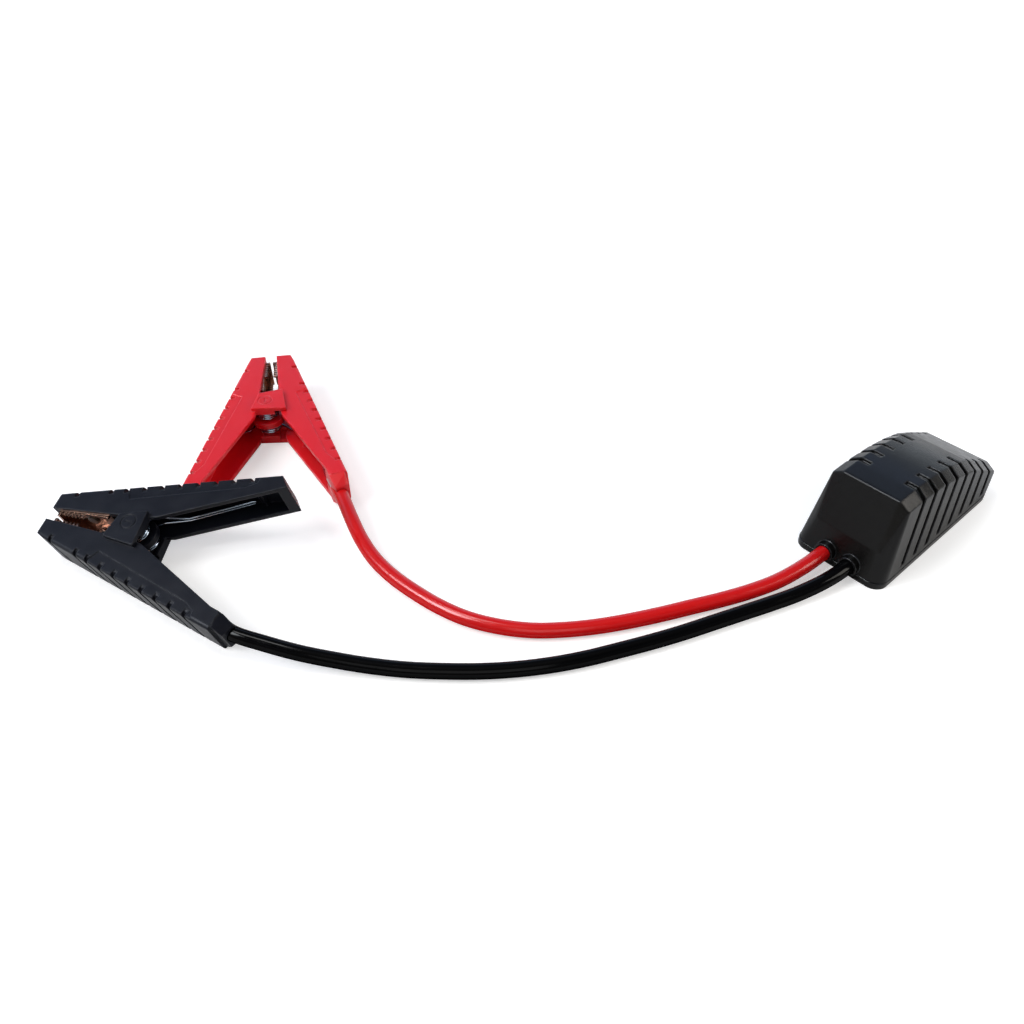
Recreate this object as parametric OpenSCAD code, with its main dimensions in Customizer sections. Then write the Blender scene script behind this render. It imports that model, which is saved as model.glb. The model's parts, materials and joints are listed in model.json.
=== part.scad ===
// Clamp lead of a car jump starter: a control box, two cables and two battery clamps.
// Millimetres, +Z up. The origin is the middle of the control box's flat underside,
// +X runs along the box from its cable end to its plug end.

/* [Control box] */
// Length of the box at the floor
box_l = 96; // [90:1:110]
// Width of the box at the floor
box_w = 42; // [40:1:48]
// Width of the box at its top edges
box_top_w = 35; // [32:1:38]
// Height above the cable end
box_h = 39; // [36:1:44]
// Height of the ridge where the top starts to fall steeply
ridge_h = 30.5; // [28:0.5:34]
// Distance of the ridge past the middle of the box
ridge_x = 18.5; // [14:0.5:22]
// Height of the plug end
plug_end_h = 17; // [16:0.5:20]
// How far the top of the cable face leans in
cable_face_lean = 10.5; // [6:0.5:13]
// How far the top of the plug face leans in
plug_face_lean = 2.5; // [2:0.5:6]
// Radius of the four upright corners
corner_r = 6; // [3:0.5:7]
// Radius of the standing corners at the plug end
plug_corner_r = 9; // [6:0.5:10]
// Height of the slanted band along each long top edge
top_edge = 2.6; // [2:0.2:5]
// Width of the slanted band
top_edge_w = 4; // [2:0.2:5]
// How far the roof bulges between its cable end and its ridge
roof_bulge = 2.8; // [0:0.2:3]
// How far the cable end's face bulges
face_bulge = 1.6; // [0:0.2:2]
// Radius that softens every top edge
edge_r = 1.2; // [0.8:0.1:2]
// Wall thickness of the box
box_wall = 2.2; // [2:0.1:2.4]
// Number of vent grooves on each side
groove_count = 9; // [6:1:9]
// Distance between two grooves
groove_pitch = 9.6; // [8:0.1:10]
// Width of a groove
groove_w = 3; // [1:0.1:3.4]
// Depth of a groove
groove_d = 1.4; // [0.6:0.1:1.6]
// Clear stretch between the grooves of the left and right side on top
groove_top_gap = 16; // [12:1:20]
// Height of the plain band under the grooves
groove_foot = 5.5; // [4.5:0.5:8]

/* [Bottom cover and circuit] */
// Height of the bottom cover's rim
cover_h = 3; // [2.6:0.1:4]
// Thickness of the cover's floor
cover_floor = 2; // [1.6:0.1:2.2]
// Radius of a cover screw's shank
cover_screw_r = 1.2; // [1:0.1:1.5]
// Radius of a cover screw's head
cover_screw_head_r = 2.2; // [2:0.1:2.4]
// Height of the circuit board's underside
board_z = 12; // [11.5:0.5:14]
// Thickness of the circuit board
board_t = 1.6; // [1:0.1:2]
// Length of the circuit board
board_l = 52; // [48:1:53]
// Width of the circuit board
board_w = 29; // [26:1:30]

/* [Plug] */
// Radius of a contact pin
contact_r = 2.5; // [2:0.1:2.8]
// Distance between the two contact pins
contact_pitch = 11; // [10:0.5:12]
// Length of a contact pin inside its shroud
contact_reach = 11; // [8:0.5:11.5]
// Width of the plug block
plug_w = 24; // [23:0.5:26]
// Height of the plug block
plug_h = 10.8; // [10:0.1:11]
// Length of the plug block
plug_l = 21.5; // [20:0.5:23]
// Depth of the shroud around the pins
shroud_depth = 12.5; // [12:0.5:14]
// Wall thickness of the shroud
shroud_wall = 1.7; // [1.2:0.1:1.8]

/* [Cables] */
// Radius of each cable over its jacket
cable_r = 3.2; // [3:0.1:3.3]
// Distance between the two cables at the box
cable_pitch = 11.5; // [10:0.5:12]
// Height of the cables where they enter the box
cable_entry_z = 5.6; // [5.4:0.1:6.5]
// How far the hoods over the cables stand out of the box
hood_l = 1.8; // [1.2:0.1:4]
// Gap between a cable and the hole that it passes through
cable_gap = 0.15; // [0.1:0.05:0.3]

/* [Clamps] */
// Length of the jaws, from the pivot
jaw_reach = 40.2; // [38:0.2:44]
// Length of the handles, from the pivot
handle_reach = 59.8; // [58:0.2:62]
// From the clamp's middle line to the outer back of an arm, beside the pivot
back_offset = 21.5; // [20:0.1:22]
// Angle between an arm's back and the clamp's middle line
back_angle = 15; // [14:0.5:16]
// Angle between a handle's inner edge and the middle line
grip_angle = 25.5; // [24:0.5:26.5]
// Half of the gap between the plastic jaw tips
lip_gap = 2.8; // [2.6:0.1:3.2]
// Half of the gap between the arms beside the pivot
throat_gap = 4.8; // [4.6:0.1:5]
// Distance over the two side faces of an arm
arm_t = 17.6; // [17:0.2:19]
// Thickness of an arm's side walls
side_wall = 2; // [1.8:0.1:2.2]
// Thickness of an arm's back
back_wall = 2.3; // [2:0.1:2.6]
// Radius of the long edges of an arm's back
back_edge_r = 1.5; // [1:0.1:3]
// Thickness of the raised pivot plates
plate_t = 2.1; // [1.5:0.05:2.4]
// Half of a pivot plate's width
plate_half_w = 8.4; // [7.6:0.1:8.6]
// Radius of the ring moulded into each pivot plate
ring_r = 3.5; // [2.4:0.1:3.8]
// Number of grip notches on a handle
notch_count = 8; // [5:1:8]
// Distance between two grip notches
notch_pitch = 7.97; // [7:0.01:8.2]
// Slant of the grip notches
notch_slant = 12; // [0:1:20]
// Depth of a grip notch
notch_d = 1.3; // [0.4:0.1:1.4]
// Depth of the lowered field round the grip notches
field_step = 0.4; // [0.2:0.1:0.8]
// Largest opening angle of a clamp
open_angle = 45; // [40:1:45]

/* [Pivot and spring] */
// How far the pivot sits from the clamp's middle line, towards the moving arm
pivot_off = 1.4; // [0:0.1:1.6]
// Radius of the pivot pin
pin_r = 2.5; // [2.2:0.1:2.6]
// Radial gap between the pin and what turns on it
pin_gap = 0.06; // [0.03:0.01:0.1]
// Radius of the cable arm's pivot ears
ear_r = 4.5; // [4.2:0.1:4.8]
// Radius of the spring's wire
wire_r = 0.6; // [0.5:0.05:0.6]
// Radius of the spring's curls, to the middle of the wire
curl_r = 4.9; // [4.8:0.1:5]
// Full curls in each half of the spring
curls = 2; // [1:1:2]
// Radius of the spool's flange
flange_r = 7.6; // [5.8:0.1:7.8]
// Half of the flange's thickness
flange_half_t = 1.4; // [1:0.1:1.4]

/* [Jaws] */
// Thickness of the copper
copper_t = 1.2; // [1:0.1:1.4]
// Half of the gap between the two rows of teeth
tooth_gap = 1.2; // [0.1:0.05:1.4]
// Height of a tooth
tooth_h = 1.9; // [1.4:0.1:2.2]
// Number of teeth on each edge
tooth_count = 7; // [5:1:10]
// Length of the toothed edge
tooth_run = 13; // [11:0.1:18]
// Length of a jaw
jaw_l = 24; // [22:0.5:24.5]

/* [Hidden] */
$fn = 48;
eps = 0.01;
seat_gap = 0.1;

// ---- Colours ----
red_plastic = "crimson";
black_plastic = [0.12, 0.12, 0.13];
copper = "peru";
zinc = "silver";

// ---- Control box: derived places ----
box_end = box_l / 2;
cable_face_slope = cable_face_lean / box_h;
plug_face_slope = plug_face_lean / plug_end_h;
groove_x0 = -box_end + 15;
groove_lean = 0.21;
function groove_reach(k) = k < 5 ? groove_top_gap / 2 : groove_top_gap / 2 + 4.5;
function cable_face_x(z) = -box_end + cable_face_slope * z;
function plug_face_x(z) = box_end - plug_face_slope * z;
function side_y(z) = box_w / 2 - (box_w - box_top_w) / 2 * z / box_h;
plug_z = cover_h + plug_h / 2;
plug_face = plug_face_x(plug_z);
function roof_point(t) = let (x0 = cable_face_x(box_h))
    [x0 + (ridge_x - x0) * t, box_h + (ridge_h - box_h) * t + 4 * roof_bulge * t * (1 - t), 0];
top_edges = [[cable_face_x(box_h), box_h, 1.1], roof_point(0.25), roof_point(0.5),
    roof_point(0.75), [ridge_x, ridge_h, 0], [plug_face_x(plug_end_h), plug_end_h, -1]];
bulge_z = 16;
bulge_r = 4;
contact_ys = [-contact_pitch / 2, contact_pitch / 2];
cable_ys = [cable_pitch / 2, -cable_pitch / 2];
cable_end_x = -box_end + 16.5;
board_x = cable_end_x - 1;
contact_back = board_x + board_l - 1;
near_post = [-box_end + 10.5, 13.5];
far_post = [28, 15.3];
post_r = 2.8;
posts = [for (p = [near_post, far_post], side = [-1, 1]) [p[0], side * p[1]]];
pillar_r = 2;
pillar_inset = 4.2;
pillars = [for (x = [board_x + pillar_inset + 1, board_x + board_l - pillar_inset], side = [-1, 1])
    [x, side * (board_w / 2 - 3)]];
screw_l = 9;

// ---- Clamps: derived places, in the clamp's own frame ----
// The frame's origin is level with the pivot, half-way through the clamp, on the middle line
// between the arms. +X points at the jaw tips, the moving arm is on the +Y side and the cable
// arm on the -Y side. The pivot is a little off the middle line.
half_t = arm_t / 2;
inner_half_t = half_t - side_wall;
plate_top = half_t + plate_t;
turn_gap = 0.1;
bore_depth = plate_t - 0.65;
swing_gap = 0.3;
throat_x = 8;
throat_back_x = -9.5;
grip_offset = 2;
tip_wall = 1.8;
tip_cut = 5;
move_end_x = -handle_reach + 4.8;
cable_end_out_x = -handle_reach + 4.3;
cable_end_in_x = -handle_reach + 2.8;
boot_start_x = cable_end_out_x + 4.5;
boot_end = [-handle_reach - 1.9, grip_y(-handle_reach - 1.9) + 1.2];
boot_axis = -17;
boot_nose_z = 4.8;
lug_inset = 6;
lug_barrel_l = 7;
lug_barrel_r = 2.8;
tongue_l = 10;
tongue_w = 8;
tongue_t = 1.5;
lug_screw_u = lug_inset + lug_barrel_l + tongue_l / 2;
lug_screw_r = 1.5;
boss_foot = along_boot(lug_screw_u, tongue_t / 2 + copper_t);
boss_h = (inner_back_y(boss_foot[0]) - boss_foot[1]) * cos(back_angle) + 0.7;
lug_head_r = 2.8;
lug_head_h = 1.5;
lug_screw_l = 4.6;
jaw_x1 = jaw_reach - tip_wall - 0.4;
jaw_x0 = jaw_x1 - jaw_l;
web_y0 = 5.2;
web_y1 = web_y0 + copper_t;
jaw_half_w = inner_half_t - seat_gap;
rivet_x = jaw_x0 + jaw_l / 2;
rivet_r = 1.2;
rivet_l = 5;
pedestal_l = 15;
skirt_x = -ear_r - swing_gap;
skirt_y = -3;
skirt_sweep_r = 8.6;
plate_rear = 0.89 * plate_half_w;
rest_x = -2 * skirt_sweep_r;
notch_x = 9.6;
notch_w = 2;
jaw_notches = [16.2, 31.3];
field_w = 6.6;
field_x0 = notch_x + 1.9;
field_x1 = notch_x - (notch_count - 1) * notch_pitch * cos(back_angle) - 2.3;
function back_y(x) = back_offset - tan(back_angle) * x;
function inner_back_y(x) = back_y(x) - back_wall / cos(back_angle);
function grip_y(x) = grip_offset - tan(grip_angle) * x;
function lip_y(x) = lip_gap + (throat_gap - lip_gap) * (jaw_reach - x) / (jaw_reach - throat_x);
function along_boot(u, v) = boot_end + u * [cos(boot_axis), sin(boot_axis)]
    + v * [-sin(boot_axis), cos(boot_axis)];

// ---- Spring: one wire, a wound half above and below the spool's flange ----
cable_leg_x = rest_x + 2.5;
moving_leg_x = -handle_reach + 19.8;
stop_x = moving_leg_x - 5.4;
moving_leg_y = inner_back_y(moving_leg_x) - 1.6 - pivot_off;
leg_slope = acos(curl_r / norm([moving_leg_x, moving_leg_y])) - atan2(-moving_leg_x, moving_leg_y);
leg_z = inner_half_t - wire_r - 0.1;
mid_z = flange_half_t + 0.15 + wire_r;
wound = 360 * curls + 2 * (90 - leg_slope);
wound_steps = ceil(wound / 45);
function on_curl(a) = curl_r * [cos(a), sin(a)];
function leg_point(x) = [x, curl_r * cos(leg_slope) - tan(leg_slope) * (x - curl_r * sin(leg_slope))];
function leg_run(z, xs) = [for (x = xs) [leg_point(x)[0], leg_point(x)[1], z]];
// The wire's long bend keeps clear of the flange, then crosses over to the +z side of its arm.
leg_lift = 2.6;
leg_lift_x = -6.5;
function lifted(p) = p[1] > curl_r && p[0] < leg_lift_x - 1 ? leg_lift : 0;
function mirror_y(path) = [for (p = path) [p[0], -p[1], p[2]]];
spring_half = concat(
    mirror_y(leg_run(leg_z, [cable_leg_x, -8])),
    [for (i = [0:wound_steps])
        let (f = i / wound_steps, c = on_curl(leg_slope - 90 + f * wound))
        [c[0], c[1], leg_z + (mid_z - leg_z) * f]],
    leg_run(mid_z, [leg_lift_x, 2 * leg_lift_x, -28, moving_leg_x]));
spring_bend = [for (a = [30:30:150]) let (x = moving_leg_x - mid_z * sin(a) * cos(leg_slope))
    [x, leg_point(x)[1], mid_z * cos(a)]];
spring_path = [for (p = concat(spring_half, spring_bend,
    [for (i = [len(spring_half) - 1:-1:0])
        [spring_half[i][0], spring_half[i][1], -spring_half[i][2]]]))
    p + [0, pivot_off, lifted(p)]];
function to_segment(p, a, b) =
    let (d = b - a, t = max(0, min(1, (p - a) * d / (d * d))))
    norm(p - a - t * d);
function self_gap(path, r, skip) = min([for (i = [0:len(path) - 1], j = [0:len(path) - 2])
    if (abs(i - j) > skip && abs(i - j - 1) > skip) to_segment(path[i], path[j], path[j + 1])]) - 2 * r;
echo(str("least gap between the spring's curls: ", self_gap(spring_path, wire_r, 4), " mm"));

// ---- How the clamps lie ----
// The red clamp rests on its pivot plate and on its handle ends.
red_tilt = atan((plate_top - half_t) / (handle_reach - plate_rear));
red_heading = 57;
red_at = [-175.5, 240, plate_rear * sin(red_tilt) + plate_top * cos(red_tilt)];
red_turn = [0, -red_tilt, red_heading];
// The black clamp lies on its other face, rolled on to the long edge of its cable arm.
black_roll = 16;
black_pitch = 4.3;
black_heading = 120.5;
black_turn = [180 - black_roll, black_pitch, black_heading];
edge_core = [for (x = [jaw_reach - tip_cut, cable_end_out_x])
    [x, -(back_y(x) - back_edge_r / cos(back_angle)), half_t - back_edge_r]];
black_at = [-263.5, 198, back_edge_r - min([for (p = edge_core) turned(p, black_turn)[2]])];
function turned(p, t) = turn_z(turn_y(turn_x(p, t[0]), t[1]), t[2]);
function turn_x(p, a) = [p[0], p[1] * cos(a) - p[2] * sin(a), p[1] * sin(a) + p[2] * cos(a)];
function turn_y(p, a) = [p[0] * cos(a) + p[2] * sin(a), p[1], p[2] * cos(a) - p[0] * sin(a)];
function turn_z(p, a) = [p[0] * cos(a) - p[1] * sin(a), p[0] * sin(a) + p[1] * cos(a), p[2]];

// ---- Cable routes ----
// Each cable starts at its lug inside the clamp, leaves through the boot, follows its free
// points and runs straight into the box.
function boot_point(at, t, u) = at + turned([along_boot(u, 0)[0], -along_boot(u, 0)[1], 0], t);
function entry_points(y) = [[-box_end - 3, y, cable_entry_z], [cable_end_x, y, cable_entry_z]];
red_free = [[-187, 155, 7.6], [-190.5, 143, 6], [-192.5, 130.5, 4.5], [-192.5, 118, 3.6],
    [-191, 105, 3.3], [-188.5, 92, 3.3], [-184.5, 80, 3.3], [-178, 68.5, 3.3], [-169.5, 58, 3.3],
    [-159.5, 49.5, 3.3], [-148.5, 42, 3.3], [-137, 35.5, 3.3], [-125, 29.5, 3.3],
    [-113, 24, 3.3], [-101, 18.5, 3.3], [-88.5, 13.5, 3.3], [-76, 9.5, 3.6], [-63, 6.8, 4.8]];
black_free = [[-252.5, 118, 8.3], [-245, 107, 6.8], [-236.5, 96.5, 5.2], [-227.5, 86, 3.9],
    [-218, 75.5, 3.3], [-208, 65.5, 3.3], [-197.5, 56, 3.3], [-186.5, 47.5, 3.3],
    [-175, 40, 3.3], [-163, 33.5, 3.3], [-151, 28, 3.3], [-138.5, 22.5, 3.3],
    [-126, 17.5, 3.3], [-113.5, 13, 3.3], [-101, 8.5, 3.3], [-88.5, 4, 3.3],
    [-76, -0.3, 3.6], [-63, -4, 4.8]];
red_route = concat([boot_point(red_at, red_turn, lug_inset), boot_point(red_at, red_turn, 0)],
    red_free, entry_points(cable_ys[0]));
black_route = concat([boot_point(black_at, black_turn, lug_inset),
    boot_point(black_at, black_turn, 0)], black_free, entry_points(cable_ys[1]));
function route_length(route) = sum([for (i = [1:len(route) - 1]) norm(route[i] - route[i - 1])]);
function sum(list, i = 0) = i < len(list) ? list[i] + sum(list, i + 1) : 0;
echo(str("cable lengths, lug to board: ", route_length(red_route), " and ",
    route_length(black_route), " mm"));

// ---- Swept tubes ----
// A tube is one polyhedron: a ring of points about every route point, joined by triangles.
function unit(v) = v / norm(v);
function heading_at(path, i) =
    i == 0 ? unit(path[1] - path[0]) :
    i == len(path) - 1 ? unit(path[i] - path[i - 1]) :
    unit(unit(path[i] - path[i - 1]) + unit(path[i + 1] - path[i]));
function square_to(v, t) = unit(v - (v * t) * t);
function side_axes(path, i = 0, last = [0.31, 0.17, 1]) =
    i == len(path) ? [] :
    let (axis = square_to(last, heading_at(path, i)))
    concat([axis], side_axes(path, i + 1, axis));
function ring_points(path, r, sides) =
    let (axes = side_axes(path))
    [for (i = [0:len(path) - 1])
        let (t = heading_at(path, i), a = axes[i], b = cross(t, a))
        for (k = [0:sides - 1])
            path[i] + r * (cos(360 * k / sides) * a + sin(360 * k / sides) * b)];
function tube_faces(rings, sides) = concat(
    [for (k = [1:sides - 2]) [0, k + 1, k]],
    [for (k = [1:sides - 2]) [0, k, k + 1] + [1, 1, 1] * (rings - 1) * sides],
    [for (i = [0:rings - 2], k = [0:sides - 1])
        [i * sides + k, i * sides + (k + 1) % sides, (i + 1) * sides + k]],
    [for (i = [0:rings - 2], k = [0:sides - 1])
        [(i + 1) * sides + k, i * sides + (k + 1) % sides, (i + 1) * sides + (k + 1) % sides]]);
module tube(path, r, sides) {
    polyhedron(ring_points(path, r, sides), tube_faces(len(path), sides));
}

// ---- Control box ----
// The wedge that the shell, its cavity and its grooves share, drawn in by inset.
module wedge(inset) {
    hull() {
        for (x = [-1, 1], y = [-1, 1]) {
            r = max((x < 0 ? corner_r : plug_corner_r) - inset, 1);
            translate([x * (box_end - inset - r), y * (box_w / 2 - inset - r), 0])
                cylinder(r = r, h = 2, $fn = 32);
        }
        // Each long top edge is slanted: one row of rounded corners above, one below and outside
        for (y = [-1, 1], p = top_edges, low = [0, 1]) {
            z = p[1] - low * top_edge - edge_r - inset;
            side = side_y(p[1] - top_edge) - (1 - low) * top_edge_w;
            translate([p[0] + p[2] * (inset + edge_r),
                       y * (side - edge_r - inset * (low == 1 ? 1 : 0.6)), z])
                sphere(r = edge_r, $fn = 12);
        }
        for (y = [-1, 1])
            translate([cable_face_x(bulge_z) - face_bulge + bulge_r,
                       y * (side_y(bulge_z) - bulge_r - 2), bulge_z])
                sphere(r = max(bulge_r - inset, 1), $fn = 16);
    }
}

module groove_slabs() {
    reach = 2 * box_h;
    for (k = [0:groove_count - 1])
        multmatrix([[1, 0, groove_lean, groove_x0 + k * groove_pitch],
                    [0, 1, 0, 0], [0, 0, 1, 0], [0, 0, 0, 1]])
            for (side = [-1, 1])
                translate([0, side * (groove_reach(k) + reach / 2), groove_foot + reach / 2])
                    cube([groove_w, reach, reach], center = true);
}

module box_shell() {
    color(black_plastic) {
        difference() {
            union() {
                difference() {
                    wedge(0);
                    difference() {
                        groove_slabs();
                        wedge(groove_d);
                    }
                    wedge(box_wall);
                    translate([-box_l, -box_l / 2, -1]) cube([2 * box_l, box_l, cover_h + 1]);
                }
                intersection() {
                    for (p = posts)
                        translate([p[0], p[1], cover_h]) cylinder(r = post_r, h = box_h);
                    wedge(box_wall / 2);
                }
                for (y = cable_ys)
                    translate([-box_end - hood_l, y, cable_entry_z]) rotate([0, 90, 0])
                        cylinder(r = cable_r + cable_gap + 1, h = hood_l + box_wall + 1);
            }
            translate([-box_l, -box_l / 2, -1]) cube([2 * box_l, box_l, cover_h + 1]);
            for (y = cable_ys)
                translate([-box_l, y, cable_entry_z]) rotate([0, 90, 0])
                    cylinder(r = cable_r + cable_gap, h = box_l / 2 + 6);
            for (p = posts)
                translate([p[0], p[1], 0]) cylinder(r = cover_screw_r, h = screw_l + 1);
            translate([plug_face - 6, -plug_w / 2 - seat_gap, 0])
                cube([12, plug_w + 2 * seat_gap, cover_h + plug_h + seat_gap]);
        }
    }
}

module cover_outline(inset) {
    hull()
        for (x = [-1, 1], y = [-1, 1]) {
            r = (x < 0 ? corner_r : plug_corner_r) - inset;
            translate([x * (box_end - inset - r), y * (box_w / 2 - inset - r)])
                circle(r = r, $fn = 32);
        }
}

module box_cover() {
    color(black_plastic)
        difference() {
            union() {
                difference() {
                    linear_extrude(cover_h) cover_outline(0);
                    translate([0, 0, cover_floor])
                        linear_extrude(cover_h) cover_outline(box_wall);
                }
                for (p = posts)
                    translate([p[0], p[1], 0]) cylinder(r = post_r, h = cover_h);
                for (p = pillars)
                    translate([p[0], p[1], 0]) cylinder(r = pillar_r, h = board_z);
                translate([plug_face - plug_l, -plug_w / 3, 0])
                    cube([plug_l - 3, plug_w * 2 / 3, cover_h]);
            }
            for (y = cable_ys)
                translate([-box_l, y, cable_entry_z]) rotate([0, 90, 0])
                    cylinder(r = cable_r + cable_gap, h = box_l / 2 + 6);
            for (p = posts) {
                translate([p[0], p[1], -1]) cylinder(r = cover_screw_r + 0.2, h = cover_h + 2);
                translate([p[0], p[1], -1]) cylinder(r = cover_screw_head_r + 0.2, h = 2.6);
            }
        }
}

module cover_screws() {
    color(zinc)
        for (p = posts)
            translate([p[0], p[1], 0]) {
                difference() {
                    translate([0, 0, 0.3]) cylinder(r = cover_screw_head_r, h = 1.3);
                    translate([0, 0, 0.2]) cylinder(r = 1.1, h = 0.9, $fn = 6);
                }
                translate([0, 0, 1.6 - eps]) cylinder(r = cover_screw_r - 0.02, h = screw_l - 1.6);
            }
}

module circuit_board() {
    color("darkgreen")
        translate([board_x, -board_w / 2, board_z]) cube([board_l, board_w, board_t]);
}

module relay() {
    color([0.1, 0.1, 0.11])
        translate([board_x + 4, -13, board_z + board_t]) {
            cube([19, 15.5, 15.3]);
            translate([0, 0, 15.3]) translate([1, 1, 0]) cube([17, 13.5, 0.4]);
        }
}

module power_transistors() {
    color([0.16, 0.16, 0.17])
        for (i = [0:1], j = [0:1])
            translate([board_x + 27 + 12 * i, -12 + 13 * j, board_z + board_t]) {
                cube([10, 9, 4.4]);
                translate([1, 9 - eps, 0]) cube([8, 2, 1.2]);
            }
}

module capacitor() {
    color([0.2, 0.2, 0.25])
        translate([board_x + 15, 8.5, board_z + board_t]) cylinder(r = 4, h = 11);
}

module cable_tabs() {
    color(copper)
        for (y = cable_ys)
            translate([cable_end_x, y - 3, cable_entry_z - 2.4])
                cube([1.5, 6, board_z - cable_entry_z + 2.4]);
}

module plug_block() {
    color([0.15, 0.16, 0.2])
        difference() {
            translate([plug_face - plug_l, -plug_w / 2, cover_h]) cube([plug_l, plug_w, plug_h]);
            translate([plug_face - shroud_depth, -plug_w / 2 + shroud_wall,
                cover_h + shroud_wall])
                cube([shroud_depth + 1, plug_w - 2 * shroud_wall, plug_h - 2 * shroud_wall]);
            for (y = contact_ys)
                translate([contact_back - 1, y, plug_z]) rotate([0, 90, 0])
                    cylinder(r = contact_r - 0.5 + 0.02, h = plug_face - contact_back);
        }
}

module plug_contacts() {
    color("gold")
        for (y = contact_ys) {
            translate([contact_back, y, plug_z]) rotate([0, 90, 0])
                cylinder(r = contact_r - 0.5, h = plug_face - shroud_depth - contact_back + 1);
            translate([plug_face - shroud_depth, y, plug_z]) rotate([0, 90, 0])
                cylinder(r = contact_r, h = contact_reach);
            translate([contact_back, y - 1.5, plug_z])
                cube([1.8, 3, board_z - plug_z]);
        }
}

// ---- Clamp arms, drawn on the +Y side ----
// The cable arm and its jaw are mirrored to the -Y side where the clamp is put together.
module both_faces() {
    children();
    mirror([0, 0, 1]) children();
}

// Origin on the cable's axis, u from the boot's end, +X into the arm, +Y towards its back.
module on_cable_axis(u) {
    translate([boot_end[0], boot_end[1], 0]) rotate([0, 0, boot_axis])
        translate([u, 0, 0]) children();
}

// The arm from the side. It stands out past the back line, which back_bar() gives.
module side_outline(end_out_x, end_in_x) {
    spare = 2;
    tip = [jaw_reach, back_y(jaw_reach) - 0.7];
    cut = [jaw_reach - tip_cut, back_y(jaw_reach - tip_cut)];
    heel = [end_out_x, back_y(end_out_x)];
    toe = [end_in_x, grip_y(end_in_x)];
    polygon([[jaw_reach, lip_y(jaw_reach)],
             tip,
             cut + 0.3 * (cut - tip),
             cut + [-1.5, spare],
             heel + [3, spare],
             heel + 0.2 * (heel - toe),
             toe,
             [throat_back_x, grip_y(throat_back_x)],
             [0, throat_gap],
             [throat_x, throat_gap]]);
}

// A bar along the arm's back, as deep as the arm, with its two long outer edges rounded.
module back_bar(inset, half_z) {
    depth = 40;
    r = back_edge_r;
    translate([0, back_offset, 0]) rotate([0, 0, -back_angle]) rotate([0, 90, 0])
        linear_extrude(4 * handle_reach, center = true)
            polygon(concat([[half_z, -depth]],
                [for (a = [0:30:90]) [half_z - r + r * cos(a), r * sin(a) - r - inset]],
                [for (a = [90:30:180]) [r - half_z + r * cos(a), r * sin(a) - r - inset]],
                [[-half_z, -depth]]));
}

module grip_notches() {
    grip_xs = [for (k = [0:notch_count - 1]) notch_x - k * notch_pitch * cos(back_angle)];
    difference() {
        for (x = concat(grip_xs, jaw_notches))
            translate([x, back_y(x), 0]) rotate([0, 0, -back_angle])
                rotate([0, -notch_slant, 0])
                cube([notch_w, 6, 1.5 * arm_t], center = true);
        back_bar(notch_d, half_t - notch_d / 2);
    }
}

// Lowered field round the grip notches, on both faces.
module grip_field() {
    both_faces()
        translate([0, 0, half_t - field_step]) linear_extrude(2)
            polygon([[field_x0, back_y(field_x0) + 1],
                     [field_x0 - 4.2, back_y(field_x0 - 4.2) - field_w],
                     [field_x1 + 5, back_y(field_x1 + 5) - field_w + 1.2],
                     [field_x1 + 0.6, back_y(field_x1 + 0.6) - 3.5],
                     [field_x1, back_y(field_x1) + 1]]);
}

module pocket(end_out_x, end_in_x) {
    linear_extrude(2 * inner_half_t, center = true)
        polygon([[jaw_reach - tip_wall, -1],
                 [jaw_reach - tip_wall, inner_back_y(jaw_reach - tip_wall)],
                 [end_out_x, inner_back_y(end_out_x)],
                 [end_in_x, grip_y(end_in_x) - 3],
                 [0, -1]]);
}

module jaw_pedestal() {
    translate([rivet_x - pedestal_l / 2, web_y1, -4.5])
        cube([pedestal_l, inner_back_y(rivet_x) - web_y1 + 4, 9]);
}

module rivet_bore() {
    translate([rivet_x, web_y0, 0]) rotate([-90, 0, 0])
        cylinder(r = rivet_r + 0.02, h = rivet_l + 0.4);
}

// The arm's shell: outline with rounded back, hollowed from the inside.
module arm_shell(end_out_x, end_in_x, pocket_out_x, pocket_in_x) {
    difference() {
        intersection() {
            linear_extrude(arm_t, center = true) side_outline(end_out_x, end_in_x);
            back_bar(0, half_t);
        }
        difference() {
            pocket(pocket_out_x, pocket_in_x);
            jaw_pedestal();
        }
        grip_notches();
        grip_field();
        rivet_bore();
    }
}

module plate_outline() {
    polygon(plate_half_w * [[-0.7, 0.93], [0.71, 0.54], [0.95, -0.82], [-0.89, -1.04]]);
}

// Ring and polarity sign, cut into a pivot plate.
module plate_mark(plus) {
    linear_extrude(1) {
        difference() {
            circle(r = ring_r);
            circle(r = ring_r - 0.45);
        }
        square([2.8, 0.5], center = true);
        if (plus) square([0.5, 2.8], center = true);
    }
}

// Pivot plate with the skirt that runs down behind the cable arm's ear.
module pivot_plate() {
    translate([0, 0, half_t + turn_gap]) linear_extrude(plate_t - turn_gap) plate_outline();
    difference() {
        translate([0, 0, inner_half_t]) linear_extrude(side_wall + turn_gap + eps)
            intersection() {
                plate_outline();
                union() {
                    translate([-2 * plate_half_w, throat_gap])
                        square([4 * plate_half_w, 2 * plate_half_w]);
                    translate([skirt_x - plate_half_w, skirt_y])
                        square([plate_half_w, 2 * plate_half_w]);
                }
            }
        translate([0, pivot_off, inner_half_t - 1])
            cylinder(r = ear_r + swing_gap, h = side_wall + 1 + turn_gap);
    }
}

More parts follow.
